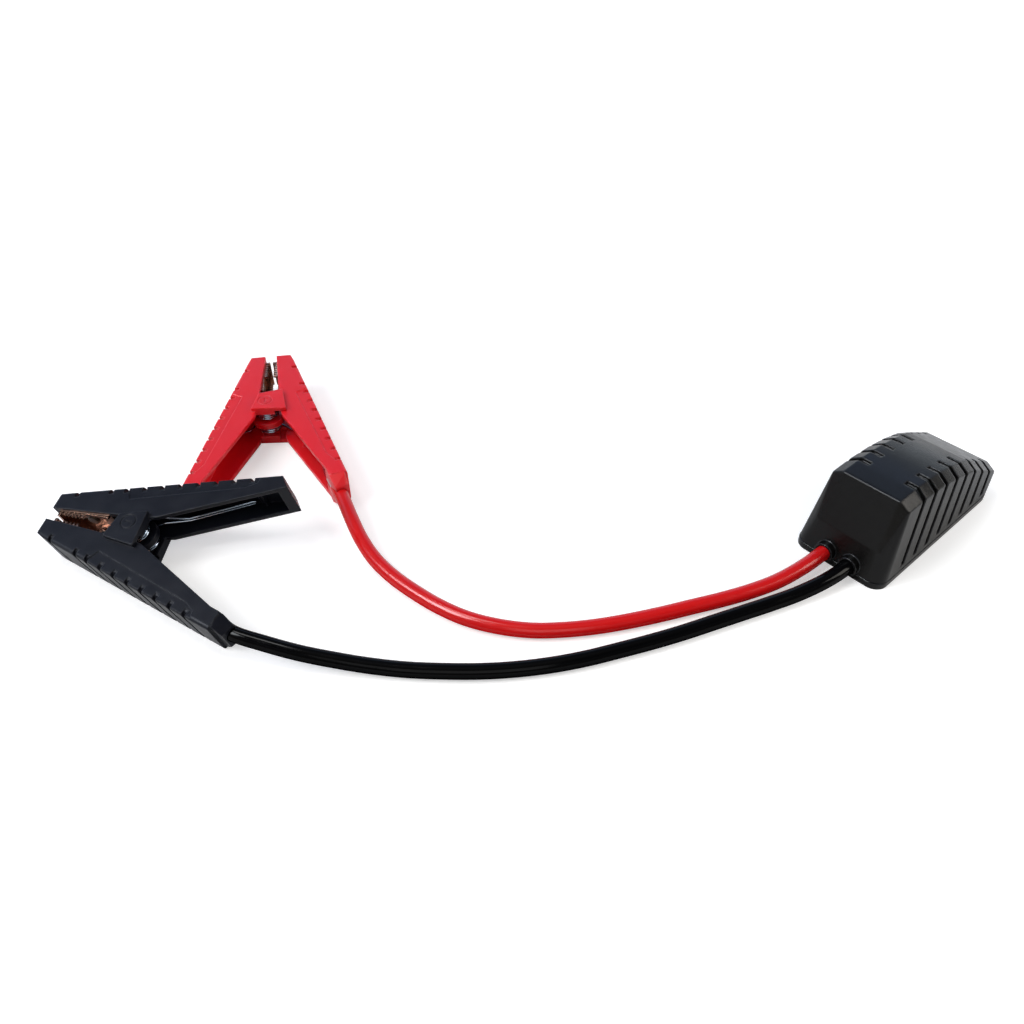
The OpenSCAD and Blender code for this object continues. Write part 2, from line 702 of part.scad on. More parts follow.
module moving_arm(plus) {
    difference() {
        union() {
            difference() {
                arm_shell(move_end_x, -handle_reach, move_end_x + 2.2, -handle_reach + 2.6);
                translate([0, pivot_off, 0])
                    cylinder(r = ear_r + swing_gap, h = 2 * arm_t, center = true);
            }
            both_faces() pivot_plate();
            // Stop for the bent end of the spring
            translate([stop_x, inner_back_y(stop_x) - 2.4, leg_lift - 4]) cube([2.2, 2.7, 8]);
        }
        translate([0, pivot_off, 0])
            cylinder(r = pin_r + pin_gap, h = 2 * (half_t + turn_gap + bore_depth), center = true);
        both_faces() translate([0, pivot_off, plate_top - 0.25]) plate_mark(plus);
    }
}

module cable_arm() {
    difference() {
        union() {
            difference() {
                arm_shell(cable_end_out_x, cable_end_in_x, boot_start_x, boot_start_x);
                // Room for the moving arm's skirts to swing
                linear_extrude(2 * arm_t, center = true)
                    intersection() {
                        translate([0, -pivot_off]) circle(r = skirt_sweep_r);
                        translate([-2 * skirt_sweep_r, -skirt_sweep_r])
                            square(2 * skirt_sweep_r);
                    }
            }
            // Ears round the pin, and their necks
            both_faces() translate([0, 0, inner_half_t]) {
                translate([0, -pivot_off, 0]) cylinder(r = ear_r, h = side_wall);
                linear_extrude(side_wall)
                    polygon([[0, -pivot_off], [ear_r - 0.2, -pivot_off],
                             [throat_x + 1, throat_gap + 0.3], [throat_x, throat_gap + 3],
                             [0, throat_gap + 3]]);
            }
            cable_boot();
            // Boss behind the cable lug
            on_cable_axis(lug_screw_u) rotate([-90, 0, 0])
                translate([0, 0, tongue_t / 2 + copper_t]) cylinder(r = 3, h = boss_h);
            // Rests for the spring's straight ends
            both_faces() translate([rest_x, leg_point(rest_x)[1] - pivot_off + 1.2, 4.6])
                cube([5, 5, 2.4]);
        }
        on_cable_axis(-2) rotate([0, 90, 0]) cylinder(r = cable_r + cable_gap, h = lug_inset + 2);
        on_cable_axis(lug_inset - eps) rotate([0, 90, 0])
            cylinder(r = lug_barrel_r + 0.4, h = lug_barrel_l);
        on_cable_axis(lug_screw_u) rotate([-90, 0, 0])
            cylinder(r = lug_screw_r + 0.02, h = lug_screw_l);
        translate([0, -pivot_off, 0]) cylinder(r = pin_r + 0.02, h = 2 * arm_t, center = true);
    }
}

// Tapered end of the cable arm that holds the cable's jacket.
module cable_boot() {
    out_x = -handle_reach + 3.2;
    in_x = -handle_reach + 3.6;
    nose_x = -handle_reach - 1;
    hull() {
        linear_extrude(arm_t - 0.4, center = true)
            polygon([[boot_start_x, grip_y(boot_start_x) + 0.3],
                     [boot_start_x, back_y(boot_start_x) - 0.8],
                     [out_x, back_y(out_x) - 1.6], [in_x, grip_y(in_x) - 0.8]]);
        linear_extrude(arm_t - 3, center = true)
            polygon([[out_x - 1, back_y(out_x - 1) - 1.6], [out_x + 2, back_y(out_x) - 3],
                     [in_x - 2.2, grip_y(in_x - 2.2) - 1.2]]);
        linear_extrude(2 * boot_nose_z, center = true)
            polygon([[nose_x + 0.8, back_y(nose_x) - 1.6], [nose_x, back_y(nose_x) - 2.8],
                     [nose_x - 1.6, grip_y(nose_x - 1.6) - 1]]);
    }
}

// ---- Copper jaws, drawn on the +Y side ----
module jaw_flange(heel_y) {
    pitch = tooth_run / tooth_count;
    root_y = tooth_gap + tooth_h;
    teeth = [for (i = [0:tooth_count - 1], p = [[0.08, root_y], [0.5, tooth_gap], [0.92, root_y]])
        [jaw_x1 - (i + p[0]) * pitch, p[1]]];
    polygon(concat([[jaw_x1, web_y0 + eps], [jaw_x1, root_y]], teeth,
        [[jaw_x1 - tooth_run, heel_y], [jaw_x0, heel_y], [jaw_x0, web_y0 + eps]]));
}

module copper_jaw(heel_y) {
    difference() {
        union() {
            translate([jaw_x0, web_y0, -jaw_half_w]) cube([jaw_l, copper_t, 2 * jaw_half_w]);
            both_faces() translate([0, 0, jaw_half_w - copper_t])
                linear_extrude(copper_t) jaw_flange(heel_y);
            // The front end is bent down too
            translate([jaw_x1 - copper_t, tooth_gap / 2, -jaw_half_w])
                cube([copper_t, web_y0 - tooth_gap / 2 + eps, 2 * jaw_half_w]);
        }
        rivet_bore();
    }
}

// The tail carries the current from the cable's lug, past the pivot, to the fixed jaw.
tail_v = (tongue_t + copper_t) / 2;
tail_path = [[jaw_x0 + 1, web_y0 + copper_t / 2], [flange_r + 1.5, flange_r + 1],
    [-flange_r + 2, flange_r + 3],
    along_boot(lug_screw_u + tongue_l / 2 + 2, tail_v), along_boot(lug_screw_u - 4.2, tail_v)];
function strip_normal(path, i) =
    let (d = i == 0 ? path[1] - path[0] : i == len(path) - 1 ? path[i] - path[i - 1] :
        unit(path[i] - path[i - 1]) + unit(path[i + 1] - path[i]))
    unit([-d[1], d[0]]);
function strip_outline(path, t) = concat(
    [for (i = [0:len(path) - 1]) path[i] + strip_normal(path, i) * t / 2],
    [for (i = [len(path) - 1:-1:0]) path[i] - strip_normal(path, i) * t / 2]);

module fixed_jaw() {
    difference() {
        union() {
            copper_jaw(web_y0 - 0.6);
            linear_extrude(tongue_w, center = true)
                polygon(strip_outline(tail_path, copper_t));
        }
        on_cable_axis(lug_screw_u) rotate([-90, 0, 0])
            cylinder(r = lug_screw_r + 0.02, h = lug_screw_l);
    }
}

module jaw_rivet() {
    translate([rivet_x, web_y0, 0]) rotate([-90, 0, 0]) {
        translate([0, 0, -0.9]) cylinder(r = 2.3, h = 0.9);
        cylinder(r = rivet_r, h = rivet_l);
    }
}

// ---- Pivot, spring, lug ----
module pivot_pin() {
    color(zinc) translate([0, pivot_off, 0])
        cylinder(r = pin_r, h = 2 * (half_t + turn_gap + bore_depth - 0.1), center = true);
}

module spool() {
    translate([0, pivot_off, 0]) difference() {
        union() {
            cylinder(r = pin_r + 0.8, h = 2 * (inner_half_t - 0.2), center = true);
            cylinder(r = flange_r, h = 2 * flange_half_t, center = true);
        }
        cylinder(r = pin_r + pin_gap, h = 2 * arm_t, center = true);
    }
}

module spring() {
    color(zinc) tube(spring_path, wire_r, 6);
}

module cable_lug() {
    color("silver")
        difference() {
            union() {
                on_cable_axis(lug_inset) rotate([0, 90, 0])
                    cylinder(r = lug_barrel_r, h = lug_barrel_l);
                on_cable_axis(lug_inset + lug_barrel_l - 1)
                    translate([0, -tongue_t / 2, -tongue_w / 2])
                    cube([tongue_l + 1, tongue_t, tongue_w]);
            }
            on_cable_axis(lug_screw_u) rotate([-90, 0, 0])
                cylinder(r = lug_screw_r + 0.02, h = 4, center = true);
        }
}

module lug_screw() {
    color(zinc)
        difference() {
            on_cable_axis(lug_screw_u) rotate([-90, 0, 0]) translate([0, 0, -tongue_t / 2]) {
                translate([0, 0, -lug_head_h]) cylinder(r = lug_head_r, h = lug_head_h);
                cylinder(r = lug_screw_r, h = lug_screw_l);
            }
            on_cable_axis(lug_screw_u) rotate([-90, 0, 0])
                translate([0, 0, -tongue_t / 2 - lug_head_h])
                cube([0.6, 2 * lug_head_r - 1, 1], center = true);
        }
}

// ---- The two clamps ----
module in_red() {
    translate(red_at) rotate(red_turn) children();
}

module in_black() {
    translate(black_at) rotate(black_turn) children();
}

module on_cable_side() {
    mirror([0, 1, 0]) children();
}

module red_cable() { color(red_plastic) tube(red_route, cable_r, 12); }
module red_cable_arm() { color(red_plastic) in_red() on_cable_side() cable_arm(); }
module red_moving_arm() { color(red_plastic) in_red() moving_arm(true); }
module red_fixed_jaw() { color(copper) in_red() on_cable_side() fixed_jaw(); }
module red_moving_jaw() { color(copper) in_red() copper_jaw(tooth_gap + tooth_h + 0.4); }
module red_fixed_jaw_rivet() { color(zinc) in_red() on_cable_side() jaw_rivet(); }
module red_moving_jaw_rivet() { color(zinc) in_red() jaw_rivet(); }
module red_pivot_pin() { in_red() pivot_pin(); }
module red_spool() { color(red_plastic) in_red() spool(); }
module red_spring() { in_red() spring(); }
module red_cable_lug() { in_red() on_cable_side() cable_lug(); }
module red_lug_screw() { in_red() on_cable_side() lug_screw(); }

module black_cable() { color(black_plastic) tube(black_route, cable_r, 12); }
module black_cable_arm() { color(black_plastic) in_black() on_cable_side() cable_arm(); }
module black_moving_arm() { color(black_plastic) in_black() moving_arm(false); }
module black_fixed_jaw() { color(copper) in_black() on_cable_side() fixed_jaw(); }
module black_moving_jaw() { color(copper) in_black() copper_jaw(tooth_gap + tooth_h + 0.4); }
module black_fixed_jaw_rivet() { color(zinc) in_black() on_cable_side() jaw_rivet(); }
module black_moving_jaw_rivet() { color(zinc) in_black() jaw_rivet(); }
module black_pivot_pin() { in_black() pivot_pin(); }
module black_spool() { color(black_plastic) in_black() spool(); }
module black_spring() { in_black() spring(); }
module black_cable_lug() { in_black() on_cable_side() cable_lug(); }
module black_lug_screw() { in_black() on_cable_side() lug_screw(); }

box_shell();
box_cover();
cover_screws();
circuit_board();
relay();
power_transistors();
capacitor();
cable_tabs();
plug_block();
plug_contacts();
red_cable();
black_cable();
red_cable_arm();
red_moving_arm();
red_fixed_jaw();
red_moving_jaw();
red_fixed_jaw_rivet();
red_moving_jaw_rivet();
red_pivot_pin();
red_spool();
red_spring();
red_cable_lug();
red_lug_screw();
black_cable_arm();
black_moving_arm();
black_fixed_jaw();
black_moving_jaw();
black_fixed_jaw_rivet();
black_moving_jaw_rivet();
black_pivot_pin();
black_spool();
black_spring();
black_cable_lug();
black_lug_screw();
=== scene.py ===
# %% [markdown]
# # Clamp lead of a jump starter
# Two battery clamps, red and black, hang on thick silicone cables from a wedge-shaped control box.
# The first cell loads the engineering model. Its parts stay where they are. This script gives
# them their finishes, and adds what an engineering model leaves out, such as the smooth line of a
# cable and the close winding of a spring.

# %% Load the frame
import json
import math

import bmesh
import bpy
from mathutils import Matrix, Vector


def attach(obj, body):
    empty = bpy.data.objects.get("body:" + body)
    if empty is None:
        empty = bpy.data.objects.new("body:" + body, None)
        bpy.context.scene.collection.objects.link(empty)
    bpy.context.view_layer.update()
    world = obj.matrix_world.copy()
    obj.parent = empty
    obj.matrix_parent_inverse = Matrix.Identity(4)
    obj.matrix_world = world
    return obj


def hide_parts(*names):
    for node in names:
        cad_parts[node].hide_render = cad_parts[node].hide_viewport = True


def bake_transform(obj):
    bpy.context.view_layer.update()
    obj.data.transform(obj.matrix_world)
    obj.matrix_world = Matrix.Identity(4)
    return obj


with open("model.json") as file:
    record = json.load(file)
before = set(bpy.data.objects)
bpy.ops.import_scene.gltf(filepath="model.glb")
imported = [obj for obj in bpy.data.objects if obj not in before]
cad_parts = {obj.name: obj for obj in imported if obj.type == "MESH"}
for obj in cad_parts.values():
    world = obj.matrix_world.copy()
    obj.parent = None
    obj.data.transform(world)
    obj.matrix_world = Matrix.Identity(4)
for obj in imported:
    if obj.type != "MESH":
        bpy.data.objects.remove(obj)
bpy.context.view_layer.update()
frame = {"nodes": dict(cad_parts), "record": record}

nodes = frame["nodes"]

# %% [markdown]
# ## Camera
# A camera is set by its place, the direction it faces and its focal length. Here it stands about
# 28 cm over the table, looks down at the lead by 42 degrees, and has a normal wide phone lens. The
# lens could be typed in millimetres. It is given in pixels of the square render instead, because
# then the middle of the render can be shifted in the same unit.

# %% Camera
CAMERA_AT = (-0.3348, -0.1139, 0.27715)
HEADING, DOWN, ROLL = 48.245, 41.736, -0.167
SENSOR_MM = 36.0
RENDER_PX = 1024
FOCAL_PX = 918.6
MIDDLE_PX = (508.77, 513.83)

cam_data = bpy.data.cameras.new("camera")
cam_data.sensor_width = SENSOR_MM
cam_data.lens = SENSOR_MM * FOCAL_PX / RENDER_PX
cam_data.shift_x = (RENDER_PX / 2 - MIDDLE_PX[0]) / RENDER_PX
cam_data.shift_y = (MIDDLE_PX[1] - RENDER_PX / 2) / RENDER_PX
cam_data.clip_start = 0.01
cam_data.dof.use_dof = False
camera = bpy.data.objects.new("camera", cam_data)
camera.matrix_world = (Matrix.Translation(CAMERA_AT)
                       @ Matrix.Rotation(math.radians(HEADING - 90), 4, "Z")
                       @ Matrix.Rotation(math.radians(90 - DOWN), 4, "X")
                       @ Matrix.Rotation(math.radians(ROLL), 4, "Z"))
bpy.context.scene.collection.objects.link(camera)
bpy.context.scene.camera = camera
bpy.context.scene.view_settings.view_transform = "Standard"
bpy.context.view_layer.update()
print("lens", round(cam_data.lens, 2), "mm")

# %% [markdown]
# ## Where the clamps lie
# Each clamp has a frame of its own: the origin is level with the pivot on the middle line, +X
# points at the jaw tips, the moving arm is on the +Y side, and the arm that holds the cable is on
# the -Y side. The pivot itself sits a little towards the moving arm.
# The red clamp lies on its pivot plate and its handle ends. The black one is turned over and
# rolled on to the long edge of its cable arm, because the stiff cable holds it so. The boot, where
# the cable leaves the clamp, points 17 degrees off the clamp's own line.

# %% Clamp frames
def turned(degrees_x, degrees_y, degrees_z):
    return (Matrix.Rotation(math.radians(degrees_z), 4, "Z")
            @ Matrix.Rotation(math.radians(degrees_y), 4, "Y")
            @ Matrix.Rotation(math.radians(degrees_x), 4, "X"))


PLACES = {
    "red": Matrix.Translation((-0.1755, 0.240, 0.0111910)) @ turned(0, -2.298307, 57),
    "black": Matrix.Translation((-0.2635, 0.198, 0.0140270)) @ turned(164, 4.3, 120.5),
}
PIVOT = Vector((0, 0.0014, 0))
BOOT_END = Vector((-0.0617, -0.03263, 0))
BOOT_ANGLE = math.radians(17)
BOOT_AXIS = Vector((math.cos(BOOT_ANGLE), math.sin(BOOT_ANGLE), 0))
for name, place in PLACES.items():
    print(name, "boot end, mm:", [round(1000 * v, 1) for v in place @ BOOT_END])

# %% [markdown]
# ## Cable routes
# The cables are fine copper strand in a jacket of soft silicone, 6.4 mm thick. They lie on the
# table in the curves that they take by themselves: stiff enough to leave the boots and the box
# straight, and lifted a little there. Cloth or a chain of bodies could be let fall to find such a
# line. A route of measured points is plainer, and it lies the same on every run.
# The points are in millimetres. The middle line of a cable on the table is 3.3 mm up.

# %% Cable routes
CABLE_R = 0.0032
FREE_POINTS = {
    "red": [(-187, 155, 7.6), (-190.5, 143, 6), (-192.5, 130.5, 4.5), (-192.5, 118, 3.6),
            (-191, 105, 3.3), (-188.5, 92, 3.3), (-184.5, 80, 3.3), (-178, 68.5, 3.3),
            (-169.5, 58, 3.3), (-159.5, 49.5, 3.3), (-148.5, 42, 3.3), (-137, 35.5, 3.3),
            (-125, 29.5, 3.3), (-113, 24, 3.3), (-101, 18.5, 3.3), (-88.5, 13.5, 3.3),
            (-76, 9.5, 3.6), (-63, 6.8, 4.8)],
    "black": [(-252.5, 118, 8.3), (-245, 107, 6.8), (-236.5, 96.5, 5.2), (-227.5, 86, 3.9),
              (-218, 75.5, 3.3), (-208, 65.5, 3.3), (-197.5, 56, 3.3), (-186.5, 47.5, 3.3),
              (-175, 40, 3.3), (-163, 33.5, 3.3), (-151, 28, 3.3), (-138.5, 22.5, 3.3),
              (-126, 17.5, 3.3), (-113.5, 13, 3.3), (-101, 8.5, 3.3), (-88.5, 4, 3.3),
              (-76, -0.3, 3.6), (-63, -4, 4.8)],
}
ENTRY_Y = {"red": 5.75, "black": -5.75}
ENTRY_Z = 5.6
ENTRY_X = (-51, -31.5)
IN_BOOT = 0.006


def cable_route(name):
    """A cable's points from its lug, 6 mm inside the boot, to the circuit board."""
    place = PLACES[name]
    route = [place @ (BOOT_END + IN_BOOT * BOOT_AXIS), place @ BOOT_END]
    route += [Vector(p) / 1000 for p in FREE_POINTS[name]]
    return route + [Vector((x, ENTRY_Y[name], ENTRY_Z)) / 1000 for x in ENTRY_X]


print({name: len(cable_route(name)) for name in PLACES}, "points")

# %% [markdown]
# ## A smooth line through the points
# A curve that goes through its points can swing out between them where they are spaced unevenly.
# The centripetal kind doesn't: it lets each span take a share that goes with the square root of
# its length. Each span is cut into a few short steps.

# %% A smooth line
def smooth_line(points, steps):
    """Points on a centripetal Catmull-Rom curve through the given points."""
    pts = [points[0] * 2 - points[1]] + points + [points[-1] * 2 - points[-2]]
    line = []
    for p0, p1, p2, p3 in zip(pts, pts[1:], pts[2:], pts[3:]):
        t1 = (p1 - p0).length ** 0.5
        t2 = t1 + (p2 - p1).length ** 0.5
        t3 = t2 + (p3 - p2).length ** 0.5
        for k in range(steps):
            t = t1 + (t2 - t1) * k / steps
            a1 = p0 * (t1 - t) / t1 + p1 * t / t1
            a2 = p1 * (t2 - t) / (t2 - t1) + p2 * (t - t1) / (t2 - t1)
            a3 = p2 * (t3 - t) / (t3 - t2) + p3 * (t - t2) / (t3 - t2)
            b1 = a1 * (t2 - t) / t2 + a2 * t / t2
            b2 = a2 * (t3 - t) / (t3 - t1) + a3 * (t - t1) / (t3 - t1)
            line.append(b1 * (t2 - t) / (t2 - t1) + b2 * (t - t1) / (t2 - t1))
    return line + [points[-1]]


def length_of(line):
    return sum((b - a).length for a, b in zip(line, line[1:]))


SPAN_STEPS = 6
cable_lines = {name: smooth_line(cable_route(name), SPAN_STEPS) for name in PLACES}
print({name: round(1000 * length_of(line), 1) for name, line in cable_lines.items()}, "mm")

# %% [markdown]
# ## Cable jackets
# A curve object with a round bevel is the usual way to a cable, and it stays a curve that can be
# bent later. Its thickness is the bevel's depth times each point's radius. Here the points hold
# the real radius and the depth is 1, because the curve's bounds grow by the points' radius and
# would be a metre too wide with a radius of 1.

# %% Cable jackets
JACKET_ROUNDNESS = 5


def cable_jacket(name, line):
    curve = bpy.data.curves.new(name, "CURVE")
    curve.dimensions = "3D"
    spline = curve.splines.new("POLY")
    spline.points.add(len(line) - 1)
    for point, p in zip(spline.points, line):
        point.co = (p.x, p.y, p.z, 1)
        point.radius = CABLE_R
    spline.use_smooth = True
    curve.bevel_depth = 1.0
    curve.bevel_resolution = JACKET_ROUNDNESS
    curve.use_fill_caps = True
    jacket = bpy.data.objects.new(name, curve)
    bpy.context.scene.collection.objects.link(jacket)
    return jacket


cables = {}
for name, line in cable_lines.items():
    cable = cable_jacket(name + "_cable_jacket", line)
    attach(cable, "lead")
    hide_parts(name + "_cable")
    cables[name] = cable

# %% [markdown]
# ## The springs' wire
# A clamp's spring is one zinc plated wire. Above and below the spool's flange it is wound three
# times round the pivot. Its two outer ends are short legs that lean on the cable arm, and the
# middle of the wire runs out as a long bend, along one side of the channel, into the back of the
# moving arm. A screw modifier could make plain curls, but not the legs that leave them without a
# kink. So the wire's middle line is worked out first, and a tube is swept along it afterwards.
# A leg is a straight line that touches the curls' circle, so its slope says where they meet.

# %% Spring sizes and legs
WIRE_R = 0.00048
CURL_R = 0.0049
TURNS = 3
OUTER_Z = 0.0061
INNER_Z = 0.00215
LEG_SLOPE = math.radians(28)
CABLE_LEG_SLOPE = math.radians(46)


def leg_point(x, slope):
    return Vector((x, CURL_R * math.cos(slope)
                   - math.tan(slope) * (x - CURL_R * math.sin(slope)), 0))


print("room for a turn:", round(1000 * (OUTER_Z - INNER_Z) / TURNS, 2), "mm")

# %% [markdown]
# ## Wound halves
# One half starts as the cable arm's leg, high over the flange, and winds down to it. Its last
# curl ends where the long bend starts, so both have the same point and the same direction there.

# %% Line of a wound half
CABLE_LEG_XS = (-0.0082, -0.005, -0.001)
CURL_STEPS = 96


def coil_line(up):
    """Middle line of one half; up is 1 for the upper one and -1 for the lower one."""
    line = []
    for x in CABLE_LEG_XS:
        p = leg_point(x, CABLE_LEG_SLOPE)
        line.append(Vector((p.x, -p.y, OUTER_Z)))
    wound = 2 * math.pi * TURNS + math.pi - LEG_SLOPE - CABLE_LEG_SLOPE
    for i in range(CURL_STEPS + 1):
        f = i / CURL_STEPS
        a = CABLE_LEG_SLOPE - math.pi / 2 + f * wound
        line.append(Vector((CURL_R * math.cos(a), CURL_R * math.sin(a),
                            OUTER_Z + (INNER_Z - OUTER_Z) * f)))
    return [PIVOT + Vector((p.x, p.y, up * p.z)) for p in line]


print("wire in a half:", round(1000 * length_of(coil_line(1)), 1), "mm")

# %% [markdown]
# ## The long bend
# Two legs run side by side into the moving arm. On the way they rise to one side of its channel
# and close up, and a small half circle joins them at the end.

# %% Line of the long bend
BEND_XS = (0.0023, -0.0065, -0.009, -0.011, -0.013, -0.015, -0.02, -0.030, -0.040)
RISE_START, RISE_RUN, LIFT = -0.0065, 0.0085, 0.0040
BEND_R = 0.00075
BEND_STEP = 15


def bend_line():
    """Middle line from the upper half's curls round to the lower half's."""
    out, back = [], []
    for x in BEND_XS:
        p = leg_point(x, LEG_SLOPE)
        along = min(1, max(0, (RISE_START - x) / RISE_RUN))
        apart = INNER_Z + (BEND_R - INNER_Z) * along
        out.append(Vector((p.x, p.y, LIFT * along + apart)))
        back.append(Vector((p.x, p.y, LIFT * along - apart)))
    for degrees in range(BEND_STEP, 180, BEND_STEP):
        a = math.radians(degrees)
        x = BEND_XS[-1] - BEND_R * math.sin(a) * math.cos(LEG_SLOPE)
        out.append(Vector((x, leg_point(x, LEG_SLOPE).y, BEND_R * math.cos(a) + LIFT)))
    return [PIVOT + p for p in out + back[::-1]]


print("wire in the bend:", round(1000 * length_of(bend_line()), 1), "mm")

# %% [markdown]
# ## A tube as a mesh
# A piece that is to bend between two bodies has to be a mesh, so the wire isn't a curve object.
# A ring of points is set about every point of the line. Each ring takes over the sideways
# direction of the ring before, made square to the line again, so that the tube doesn't twist.

# %% A spring's wire
WIRE_SIDES = 10
FIRST_AXIS = Vector((0.31, 0.17, 1.0))


def spring_wire(name, line):
    bm = bmesh.new()
    rings = []
    axis = FIRST_AXIS
    for i, p in enumerate(line):
        before = line[max(i - 1, 0)]
        after = line[min(i + 1, len(line) - 1)]
        t = (after - before).normalized()
        axis = (axis - axis.dot(t) * t).normalized()
        side = t.cross(axis)
        round_it = [2 * math.pi * k / WIRE_SIDES for k in range(WIRE_SIDES)]
        rings.append([bm.verts.new(p + WIRE_R * (math.cos(a) * axis + math.sin(a) * side))
                      for a in round_it])
    for a, b in zip(rings, rings[1:]):
        for k in range(WIRE_SIDES):
            n = (k + 1) % WIRE_SIDES
            bm.faces.new((a[k], a[n], b[n], b[k])).smooth = True
    bm.faces.new(list(reversed(rings[0])))
    bm.faces.new(rings[-1])
    mesh = bpy.data.meshes.new(name)
    bm.normal_update()
    bm.to_mesh(mesh)
    bm.free()
    wire = bpy.data.objects.new(name, mesh)
    bpy.context.scene.collection.objects.link(wire)
    return wire


print("wire:", round(2000 * WIRE_R, 2), "mm thick with", WIRE_SIDES, "sides")

# %% [markdown]
# ## Springs
# On the real clamp each wound half twists between the two arms as it opens: its leg stays with
# the cable arm and its last curl goes with the moving arm. Here each half is set in its clamp's
# frame and stays there. The bend keeps its shape, so it is a piece of its own that rides on the
# moving arm.

# %% Springs
springs = []
for name, place in PLACES.items():
    for half, up in (("upper", 1), ("lower", -1)):
        coil = spring_wire(f"{name}_spring_{half}", coil_line(up))
        coil.data.transform(place)
        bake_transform(coil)
        springs.append(coil)
    bend = spring_wire(name + "_spring_bend", bend_line())
    bend.data.transform(place)
    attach(bend, name + "_moving_half")
    springs.append(bend)
    for piece in springs[-3:]:
        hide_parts(name + "_spring")
print("spring pieces:", [piece.name for piece in springs])

# %% [markdown]
# ## Finishes
# Every finish is a small tree of shader nodes that starts from one principled shader. A picture
# could be wrapped round each part instead, but it would need its seams laid out, and it blurs when
# it is looked at closely. Noise in the part's own space needs neither.

# %% A new material
def new_material(name):
    mat = bpy.data.materials.new(name)
    mat.use_nodes = True
    tree = mat.node_tree
    tree.nodes.clear()
    out = tree.nodes.new("ShaderNodeOutputMaterial")
    bsdf = tree.nodes.new("ShaderNodeBsdfPrincipled")
    tree.links.new(bsdf.outputs["BSDF"], out.inputs["Surface"])
    coords = tree.nodes.new("ShaderNodeTexCoord")
    return mat, tree, bsdf, coords


print("materials so far:", len(bpy.data.materials))

# %% [markdown]
# ## Noise, ramps and mixes
# Three helpers do most of the work. Noise gives an uneven value from 0 to 1, a ramp stretches a
# value to the range that is wanted, and a mix goes from one colour to another by it.

# %% Noise, ramp and mix
def noise(tree, coords, scale, detail=3.0):
    n = tree.nodes.new("ShaderNodeTexNoise")
    n.inputs["Scale"].default_value = scale
    n.inputs["Detail"].default_value = detail
    tree.links.new(coords.outputs["Object"], n.inputs["Vector"])
    return n.outputs["Fac"]


def ramp(tree, value, low, high, a, b):
    r = tree.nodes.new("ShaderNodeMapRange")
    r.inputs["From Min"].default_value = low
    r.inputs["From Max"].default_value = high
    r.inputs["To Min"].default_value = a
    r.inputs["To Max"].default_value = b
    tree.links.new(value, r.inputs["Value"])
    return r.outputs["Result"]


def colour_mix(tree, factor, a, b):
    m = tree.nodes.new("ShaderNodeMix")
    m.data_type = "RGBA"
    m.inputs["A"].default_value = (*a, 1)
    m.inputs["B"].default_value = (*b, 1)
    tree.links.new(factor, m.inputs["Factor"])
    return m.outputs["Result"]


print("helpers:", [f.__name__ for f in (noise, ramp, colour_mix)])

# %% [markdown]
# ## A plain finish
# Nothing that was moulded or plated is one flat colour. The finish drifts between two near
# colours in patches of one or two centimetres, its polish is uneven on a smaller scale, and a
# fine grain breaks up the reflections.

# %% A plain finish
PATCH_SCALE = 60.0
POLISH_SCALE = 140.0
USUAL_NOISE = (0.3, 0.7)
SMOOTHER, ROUGHER = 0.04, 0.05
GRAIN_DEPTH = 0.0002


def plain_finish(name, colour, tint, roughness, grain, grain_scale, metallic=0.0,
                 specular=0.5):
    mat, tree, bsdf, coords = new_material(name)
    patches = noise(tree, coords, PATCH_SCALE)
    tree.links.new(colour_mix(tree, patches, colour, tint), bsdf.inputs["Base Color"])
    polish = noise(tree, coords, POLISH_SCALE)
    tree.links.new(ramp(tree, polish, *USUAL_NOISE, roughness - SMOOTHER, roughness + ROUGHER),
                   bsdf.inputs["Roughness"])
    bsdf.inputs["Metallic"].default_value = metallic
    bsdf.inputs["Specular IOR Level"].default_value = specular
    bump = tree.nodes.new("ShaderNodeBump")
    bump.inputs["Strength"].default_value = grain
    bump.inputs["Distance"].default_value = GRAIN_DEPTH
    tree.links.new(noise(tree, coords, grain_scale, 2.0), bump.inputs["Height"])
    tree.links.new(bump.outputs["Normal"], bsdf.inputs["Normal"])
    return mat


print("patches about", round(1000 / PATCH_SCALE), "mm wide")

# %% [markdown]
# ## Rounded edges
# A moulded edge is never quite sharp, and a thin line of light runs along it. Real fillets would
# change the engineering part, so the shader bends its normals near an edge instead.

# %% Rounded edges
EDGE_SAMPLES = 6


def round_edges(mat, radius):
    tree = mat.node_tree
    bevel = tree.nodes.new("ShaderNodeBevel")
    bevel.samples = EDGE_SAMPLES
    bevel.inputs["Radius"].default_value = radius
    tree.links.new(bevel.outputs["Normal"], tree.nodes["Bump"].inputs["Normal"])
    return mat


print("samples for an edge:", EDGE_SAMPLES)

# %% [markdown]
# ## Lighter edges: wear and painted highlight
# Handling rubs the edges of plastic lighter, here more and there less, and a thin highlight runs
# along them. Both are painted into the colour here: on the clamps the lighter edge is partly wear
# and partly painted highlight, on the box it is painted highlight only. The rounded normal turns
# away from the flat one only near an edge, so the angle between them finds the edges, and a noise
# leaves parts of them plain.

# %% Lighter edges: wear and painted highlight
# Patches of the painted edge highlight and wear.
EDGE_SPOT_SCALE = 420.0
EDGE_TURN = (0.99, 0.85)
EDGE_SPOT_NOISE = (0.4, 0.65)
EDGE_SPOT_SHARE = (0.1, 0.8)


